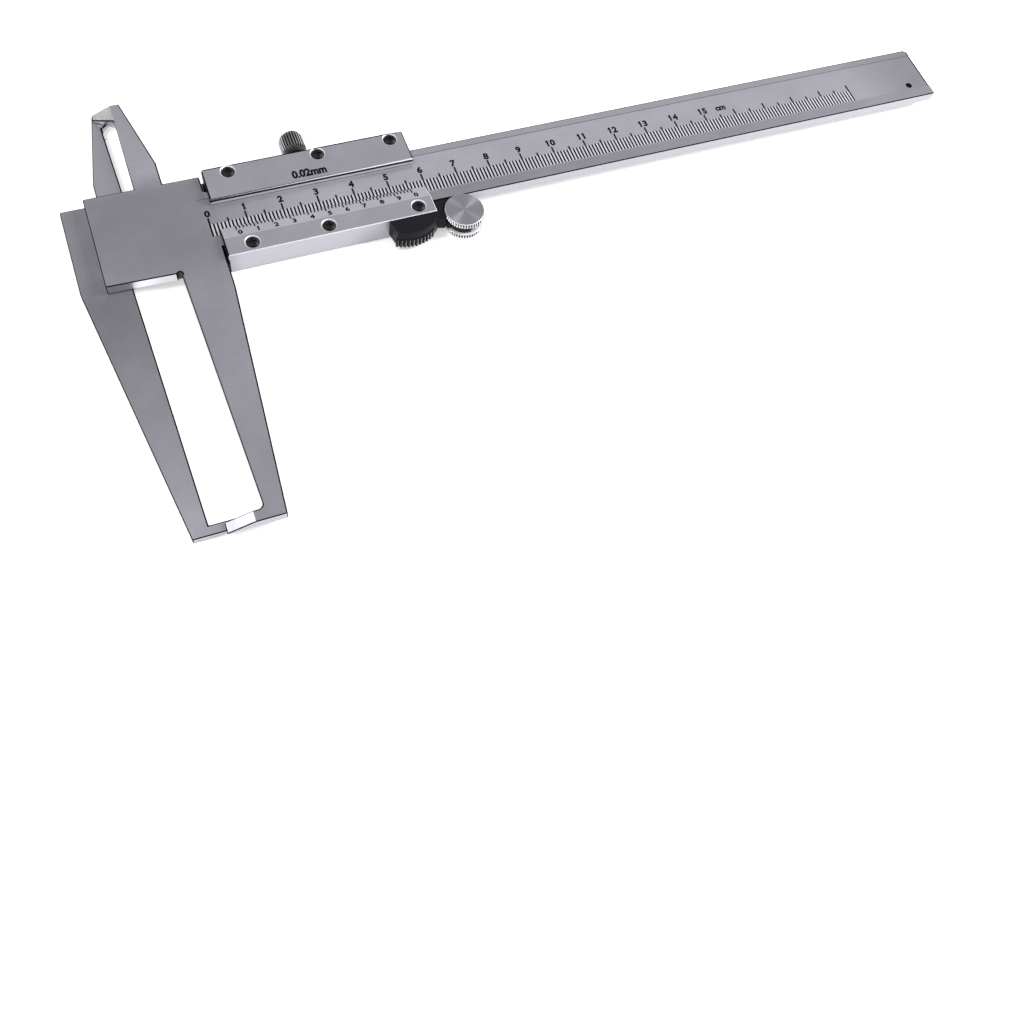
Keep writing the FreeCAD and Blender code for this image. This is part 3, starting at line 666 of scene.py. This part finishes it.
softened("upper_cover", "slider",
         [COVER, GROUND, PAINTED_SHADE_SIDE, PAINTED_LIGHT_SIDE], [PAINTED_EDGE_SHADE, PAINTED_HIGHLIGHT_EDGE],
         [(is_seat, SEAT_CHAMFER, PAINTED_HIGHLIGHT_EDGE, 1), (is_lit, SEAT_CHAMFER, PAINTED_HIGHLIGHT_EDGE, 1),
          (at_left, COVER_LEFT_CHAMFER, PAINTED_EDGE_SHADE, 1), (is_front, FRONT_CHAMFER, PAINTED_EDGE_SHADE, 1)],
         choose=cover_sides, cut_height=COVER_CUT, last=cover_outline)


def vernier_sides(face):
    """The plate's front and back, its bevelled strip and its sides, its side at the head in painted
    shade.
    """
    if face.normal.x < -LEANING:
        return PAINTED_SHADE_SIDE
    if abs(face.normal.z) < LEANING:
        return GROUND
    return STRIP if LEANING < face.normal.z < SQUARE else COVER


def is_outline(edge):
    """The front outline of the vernier plate, but not the fold of its bevelled strip."""
    if all(face.normal.z > LEANING for face in edge.link_faces):
        return False
    return all(vert.co.z > SIDE_FOOT for vert in edge.verts)


softened("vernier_plate", "slider",
         [COVER, GROUND, PAINTED_SHADE_SIDE, STRIP], [PAINTED_HIGHLIGHT_EDGE, PAINTED_EDGE_SHADE],
         [(is_seat, SEAT_CHAMFER, PAINTED_HIGHLIGHT_EDGE, 1), (at_left, PLATE_LEFT_CHAMFER, PAINTED_EDGE_SHADE, 1),
          (is_outline, FRONT_CHAMFER, PAINTED_HIGHLIGHT_EDGE, 1)],
         choose=vernier_sides)


# ---------------------------------------------------------------- scales
LINE_LIFT, LINE_SINK = 0.006 * MM, 0.05 * MM  # how far the filling stands out and reaches in
MAIN_LINE = 0.5 * MM                  # widths of the lines
VERNIER_LINE = 0.38 * MM
MAIN_FOOT = 3.6 * MM
MAIN_TOPS = {1: 7.8 * MM, 5: 8.9 * MM, 10: 9.9 * MM}
MAIN_LAST, VERNIER_LAST = 200, 50
VERNIER_STEP = 0.98 * MM
VERNIER_FIRST = 6.2 * MM
VERNIER_LONG_FOOT, VERNIER_SHORT_FOOT = 3.3 * MM, 3.9 * MM
BEVEL_TOP_Y = 0.6 * MM
BEVEL_EDGE_Y = plate_high.y
BEVEL_EDGE_Z = plate_low.z + 0.35 * MM
BOX_FACES = ((0, 1, 3, 2), (4, 6, 7, 5), (0, 4, 5, 1), (2, 3, 7, 6), (1, 5, 7, 3), (0, 2, 6, 4))


def on_bevel(y):
    """Height of the vernier's bevelled strip at y."""
    share = (BEVEL_EDGE_Y - y) / (BEVEL_EDGE_Y - BEVEL_TOP_Y)
    return BEVEL_EDGE_Z + share * (plate_high.z - BEVEL_EDGE_Z)


def add_line(bm, x, width, y_low, y_high, height):
    """One filled line across the beam, as a thin closed box that follows height(y)."""
    corners = []
    for y in (y_low, y_high):
        for side in (-0.5, 0.5):
            for lift in (-LINE_SINK, LINE_LIFT):
                corners.append(bm.verts.new((x + side * width, y, height(y) + lift)))
    for quad in BOX_FACES:
        bm.faces.new([corners[number] for number in quad])


def on_scale(y):
    """Height of the main scale, the same at every y."""
    return SCALE_TOP


def make_main_lines():
    bm = bmesh.new()
    for number in range(MAIN_LAST + 1):
        kind = next(step for step in (10, 5, 1) if number % step == 0)
        add_line(bm, number * MM, MAIN_LINE, MAIN_FOOT, MAIN_TOPS[kind], on_scale)
    bmesh.ops.recalc_face_normals(bm, faces=bm.faces)
    finish_piece("main_scale_lines", mesh_from(bm, "main_lines"), [FILL], "beam")


def make_vernier_lines():
    bm = bmesh.new()
    for number in range(VERNIER_LAST + 1):
        foot = VERNIER_LONG_FOOT if number % 5 == 0 else VERNIER_SHORT_FOOT
        x = VERNIER_FIRST + number * VERNIER_STEP
        add_line(bm, x, VERNIER_LINE, foot, BEVEL_EDGE_Y, on_bevel)
    bmesh.ops.recalc_face_normals(bm, faces=bm.faces)
    finish_piece("vernier_lines", mesh_from(bm, "vernier_lines"), [FILL], "slider")


DIGIT_LOW, DIGIT_HIGH = -0.01, 0.74  # a digit's foot and top in the built-in font, for size 1
LETTER_WEIGHT = 0.05                 # how far its outline is moved out
DIGIT_PITCH = 0.72                   # from one figure to the next, for height 1
FLAG = ((0.02, 0.5), (-0.26, 0.26), (-0.26, 0.12), (0.02, 0.3))  # of a 1, for height 1
MAIN_SHIFT, MAIN_NUMBER_Y, MAIN_TALL = 0.15 * MM, 11.4 * MM, 2.15 * MM
VERNIER_SHIFT, VERNIER_NUMBER_Y, VERNIER_TALL = 0.7 * MM, 2.25 * MM, 1.75 * MM
UNIT_X, UNIT_Y, UNIT_TALL = 156.3 * MM, 11.1 * MM, 2.1 * MM
MARK_X, MARK_Y, MARK_TALL, MARK_WIDE = 29.9 * MM, 16.75 * MM, 2.6 * MM, 9.7 * MM


def add_text(bm, words, x, y, tall, height, wide=None):
    """Generic lettering of a given height and width, centred at (x, y) and laid on height(y)."""
    curve = bpy.data.curves.new("lettering", "FONT")
    curve.body = words
    curve.align_x = "CENTER"
    curve.offset = LETTER_WEIGHT
    curve.extrude = 0.02
    curve.resolution_u = 3
    holder = bpy.data.objects.new("lettering", curve)
    bpy.context.scene.collection.objects.link(holder)
    bpy.context.view_layer.update()
    evaluated = holder.evaluated_get(bpy.context.evaluated_depsgraph_get())
    mesh = bpy.data.meshes.new_from_object(evaluated)
    bpy.data.objects.remove(holder)
    xs = [vert.co.x for vert in mesh.vertices]
    ys = [vert.co.y for vert in mesh.vertices]
    scale = tall / (DIGIT_HIGH - DIGIT_LOW)
    stretch = wide / (max(xs) - min(xs)) if wide else scale
    middle_x = (min(xs) + max(xs)) / 2
    middle_y = (DIGIT_LOW + DIGIT_HIGH) / 2 if words != "cm" else (min(ys) + max(ys)) / 2
    for vert in mesh.vertices:
        flat_y = y + (vert.co.y - middle_y) * scale
        lift = LINE_LIFT if vert.co.z > 0 else -LINE_SINK
        vert.co = (x + (vert.co.x - middle_x) * stretch, flat_y, height(flat_y) + lift)
    bm.from_mesh(mesh)
    bpy.data.meshes.remove(mesh)


def add_number(bm, number, x, y, tall, height):
    """A whole number, figure by figure; a 1 gets the flag that the built-in font leaves out."""
    figures = str(number)
    for place, figure in enumerate(figures):
        middle = x + (place - (len(figures) - 1) / 2) * DIGIT_PITCH * tall
        add_text(bm, figure, middle, y, tall, height)
        if figure != "1":
            continue
        ring = []
        for across, up in FLAG:
            flat_y = y + up * tall
            ring.append(bm.verts.new((middle + across * tall, flat_y, height(flat_y) + LINE_LIFT)))
        bm.faces.new(reversed(ring))


def finish_marks(name, bm, mesh_name, body):
    """Lettering as one piece, its outlines closed."""
    bmesh.ops.remove_doubles(bm, verts=bm.verts, dist=0.5 * WELD)
    finish_piece(name, mesh_from(bm, mesh_name), [FILL], body)


def make_main_numbers():
    """0 to 15 centimetres, each just right of its line, and the unit."""
    bm = bmesh.new()
    for number in range(16):
        x = 10 * number * MM + MAIN_SHIFT
        add_number(bm, number, x, MAIN_NUMBER_Y, MAIN_TALL, on_scale)
    add_text(bm, "cm", UNIT_X, UNIT_Y, UNIT_TALL, on_scale)
    finish_marks("main_scale_numbers", bm, "main_numbers", "beam")


def make_vernier_numbers():
    """0 to 9 and 0 again, at every fifth line."""
    bm = bmesh.new()
    for number in range(11):
        x = VERNIER_FIRST + 5 * number * VERNIER_STEP + VERNIER_SHIFT
        add_number(bm, number % 10, x, VERNIER_NUMBER_Y, VERNIER_TALL, on_bevel)
    finish_marks("vernier_numbers", bm, "vernier_numbers", "slider")


def make_resolution_mark():
    bm = bmesh.new()
    add_text(bm, "0.02mm", MARK_X, MARK_Y, MARK_TALL, lambda y: cover_high.z, MARK_WIDE)
    finish_marks("resolution_mark", bm, "resolution", "slider")


make_main_lines()
make_vernier_lines()
make_main_numbers()
make_vernier_numbers()
make_resolution_mark()


# ---------------------------------------------------------------- round pieces
DISC_TEETH, SCREW_TEETH = 46, 28
FINE_CHAMFER, RIB_CHAMFER = 0.05 * MM, 0.16 * MM
RIB_FACE = 1.0 * MM * MM             # the faces of the thumb rest's ribs are smaller
RIBS_TOP = -8.0 * MM                 # and lie below this


def ring_of(bm, radius, height, steps, wave, centre, axis):
    """One ring of a turned piece: wave is how deep the knurl cuts between its crests."""
    ring = []
    for step in range(steps):
        angle = 2 * math.pi * step / steps
        reach = radius - (wave if step % 4 > 1 else 0.0)
        across, along = reach * math.cos(angle), reach * math.sin(angle)
        upright = axis == "Z"
        offset = (across, along, height) if upright else (across, height, -along)
        ring.append(bm.verts.new(centre + Vector(offset)))
    return ring


def lathe(profile, teeth, centre, axis="Z"):
    """A closed turned body from (radius, height, knurl depth, material) rings, bottom first.
    The grooves of the knurl, a valley and one flank of each tooth, get the material after the one
    of their ring, which paints their shade."""
    bm = bmesh.new()
    steps = 4 * teeth
    rings = [
        ring_of(bm, radius, height, steps, wave, centre, axis)
        for radius, height, wave, _ in profile
    ]
    for (low, high), (_, _, wave, index) in zip(zip(rings, rings[1:]), profile[1:]):
        for step in range(steps):
            after = (step + 1) % steps
            face = bm.faces.new((low[step], low[after], high[after], high[step]))
            face.material_index = index + 1 if wave and step % 4 > 1 else index
    bm.faces.new(list(reversed(rings[0]))).material_index = profile[0][3]
    bm.faces.new(rings[-1]).material_index = profile[-1][3]
    bmesh.ops.recalc_face_normals(bm, faces=bm.faces)
    return bm


def make_disc(node, crowned):
    """Roller disc with a straight-knurled rim between two chamfers; the crowned one's top face
    has rings."""
    turned, crest, groove, rim = range(4)
    low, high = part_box(node)
    radius = (high.x - low.x) / 2
    tall = high.z - low.z
    depth = 0.26 * MM
    edge = 0.22 * MM
    # Below the top, the groove slot paints a near-black band and the rim slot a near-white band and
    # chamfer: painted shade and painted highlight.
    profile = [
        (radius - depth - edge, 0.0, 0.0, turned),
        (radius - depth, edge, 0.0, crest),
        (radius, 1.6 * edge, depth, groove),
        (radius, tall - 1.9 * edge, depth, crest),
        (radius - depth, tall - 1.3 * edge, 0.0, crest),
        (radius - depth, tall - 0.8 * edge, 0.0, groove),
        (radius - 0.6 * depth, tall - 0.7 * edge, 0.0, groove),
        (radius - 0.6 * depth, tall - 0.3 * edge, 0.0, rim),
        (radius - 0.6 * depth - 0.3 * edge, tall, 0.0, rim),
    ]
    if crowned:
        for share in (0.85, 0.6, 0.35, 0.1):
            profile.append((share * radius, tall, 0.0, turned))
    bm = lathe(profile, DISC_TEETH, Vector((ROLLER_X, ROLLER_Y, low.z)))
    finish_piece(f"{node}_knurled", mesh_from(bm, node), [TURNED, KNURL, KNURL_GROOVE_SHADE, PAINTED_HIGHLIGHT_EDGE],
                 "roller", [node])


def make_lock_screw():
    """Thumb screw with a deep straight knurl, a domed end and a plain collar."""
    # The shank and the collar get the near-black side steel: painted shade.
    crest, dark = 0, 2
    low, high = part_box("lock_screw")
    radius = (high.x - low.x) / 2
    centre = Vector(((low.x + high.x) / 2, 0.0, (low.z + high.z) / 2))
    shank = 1.4 * MM
    head_low = 25.4 * MM
    depth = 0.42 * MM
    profile = [
        (0.8 * shank, low.y, 0.0, dark),
        (shank, low.y + 0.3 * MM, 0.0, dark),
        (shank, head_low, 0.0, dark),
        (radius - 0.7 * MM, head_low, 0.0, dark),
        (radius - 0.3 * MM, head_low + 0.35 * MM, 0.0, dark),
        (radius - 0.3 * MM, head_low + 0.9 * MM, 0.0, dark),
        (radius - 0.75 * MM, head_low + 1.1 * MM, 0.0, dark),
        (radius - 0.75 * MM, head_low + 1.5 * MM, 0.0, dark),
        (radius, head_low + 1.8 * MM, depth, crest),
        (radius, high.y - 1.9 * MM, depth, crest),
        (radius - 0.28 * MM, high.y - 1.15 * MM, depth, crest),
        (radius - 0.8 * MM, high.y - 0.55 * MM, 0.8 * depth, crest),
        (radius - 1.5 * MM, high.y - 0.2 * MM, 0.3 * depth, crest),
        (radius - 2.3 * MM, high.y, 0.0, crest),
    ]
    bm = lathe(profile, SCREW_TEETH, centre, axis="Y")
    finish_piece("lock_screw_knurled", mesh_from(bm, "lock_screw"), [LOCK_KNURL, KNURL_GROOVE_SHADE, PAINTED_SHADE_SIDE],
                 "lock_screw", ["lock_screw"])


make_disc("roller_top_disc", crowned=True)
make_disc("roller_bottom_disc", crowned=False)
make_lock_screw()
for screws in ("cover_screws", "vernier_plate_screws"):
    softened(screws, "slider", [SCREW], [], [(any_edge, FINE_CHAMFER, SCREW, 2)])


def rib_crests(face):
    """The ribs below the thumb rest carry a painted glint on their crests: small upright faces that
    look down and a little to the right."""
    small = face.calc_area() < RIB_FACE
    below = face.calc_center_median().y < RIBS_TOP
    outward = abs(face.normal.z) < 0.1 and face.normal.x > 0.1 and face.normal.y < -0.8
    return RIB_GLINT if small and below and outward else PLASTIC


softened("thumb_rest", "slider", [PLASTIC, RIB_GLINT], [],
         [(any_edge, RIB_CHAMFER, PLASTIC, 2)], choose=rib_crests)


# ---------------------------------------------------------------- pieces with their CAD shape
for node, material in (
    ("gib_strip", BRONZE),
    ("gib_set_screws", SCREW),
    ("lock_pad", BRONZE),
    ("thumb_rest_screws", SCREW),
    ("roller_axle", KNURL),
    ("roller_bush", BRONZE),
    ("roller_washers", BRONZE),
):
    piece = frame["nodes"][node]
    piece.data.materials.clear()
    piece.data.materials.append(material)


# ---------------------------------------------------------------- floor, light and camera
def make_floor():
    material, shader = new_material("table_white", (0.9, 0.9, 0.9), 0.0, 0.7)
    shader.inputs["Specular IOR Level"].default_value = 0.2
    shader.inputs["Emission Color"].default_value = (1.0, 1.0, 1.0, 1.0)
    shader.inputs["Emission Strength"].default_value = 0.45
    bm = bmesh.new()
    bmesh.ops.create_grid(bm, x_segments=1, y_segments=1, size=2.5)
    mesh = mesh_from(bm, "table")
    mesh.materials.append(material)
    floor = bpy.data.objects.new("table", mesh)
    floor.location.z = cad_low.z - 0.02 * MM
    bpy.context.scene.collection.objects.link(floor)


def make_world():
    """A soft studio: bright all round, dim behind the table and in front."""
    world = bpy.data.worlds.new("studio")
    bpy.context.scene.world = world
    world.use_nodes = True
    nodes, links = world.node_tree.nodes, world.node_tree.links
    coordinates = nodes.new("ShaderNodeTexCoord")
    toward_wall = nodes.new("ShaderNodeVectorMath")
    toward_wall.operation = "DOT_PRODUCT"
    toward_wall.inputs[1].default_value = Vector((-0.2, 0.9, 0.39)).normalized()
    links.new(coordinates.outputs["Generated"], toward_wall.inputs[0])
    wall = nodes.new("ShaderNodeValToRGB")
    wall.color_ramp.elements[0].position = 0.5
    wall.color_ramp.elements[0].color = (0.88, 0.88, 0.91, 1)
    wall.color_ramp.elements[1].position = 0.95
    wall.color_ramp.elements[1].color = (0.38, 0.38, 0.4, 1)
    links.new(toward_wall.outputs["Value"], wall.inputs["Fac"])
    split = nodes.new("ShaderNodeSeparateXYZ")
    links.new(coordinates.outputs["Generated"], split.inputs["Vector"])
    front = nodes.new("ShaderNodeMapRange")
    front.inputs["From Min"].default_value = -0.9
    front.inputs["From Max"].default_value = 0.1
    front.inputs["To Min"].default_value = 0.25
    front.inputs["To Max"].default_value = 1.0
    links.new(split.outputs["Y"], front.inputs["Value"])
    links.new(wall.outputs["Color"], nodes["Background"].inputs["Color"])
    links.new(front.outputs["Result"], nodes["Background"].inputs["Strength"])


def make_softbox(name, place, target, size, power):
    light = bpy.data.lights.new(name, "AREA")
    light.shape = "SQUARE"
    light.size = size
    light.energy = power
    holder = bpy.data.objects.new(name, light)
    holder.location = place
    holder.rotation_euler = (Vector(target) - Vector(place)).to_track_quat("-Z", "Y").to_euler()
    bpy.context.scene.collection.objects.link(holder)


def make_camera():
    """Seen from in front and above, a little from the left. The place, the directions and the
    lens come from a fit to the scale's lines, the beam's edges and the round heads."""
    right = Vector((0.93681372, -0.33533243, 0.09966054))
    down = Vector((-0.27004371, -0.8742922, -0.40334791))
    ahead = Vector((0.22238807, 0.35094916, -0.90960334))
    camera = bpy.data.cameras.new("camera")
    camera.sensor_width = 36.0
    camera.lens = 34.684
    camera.shift_x = 0.0605
    camera.shift_y = -0.0117
    camera.clip_start = 0.01
    camera.clip_end = 20.0
    holder = bpy.data.objects.new("camera", camera)
    turn = Matrix((right, -down, -ahead)).transposed().to_4x4()
    holder.matrix_world = Matrix.Translation((-0.018230, -0.169350, 0.220074)) @ turn
    bpy.context.scene.collection.objects.link(holder)
    bpy.context.scene.camera = holder


make_floor()
make_world()
make_softbox("key", (0.8, -0.15, 0.5), (0.05, 0.0, 0.0), 0.35, 8.0)
make_softbox("left", (-0.45, 0.0, 0.8), (0.05, 0.0, 0.0), 0.2, 3.0)
make_camera()
bpy.context.scene.view_settings.view_transform = "Standard"
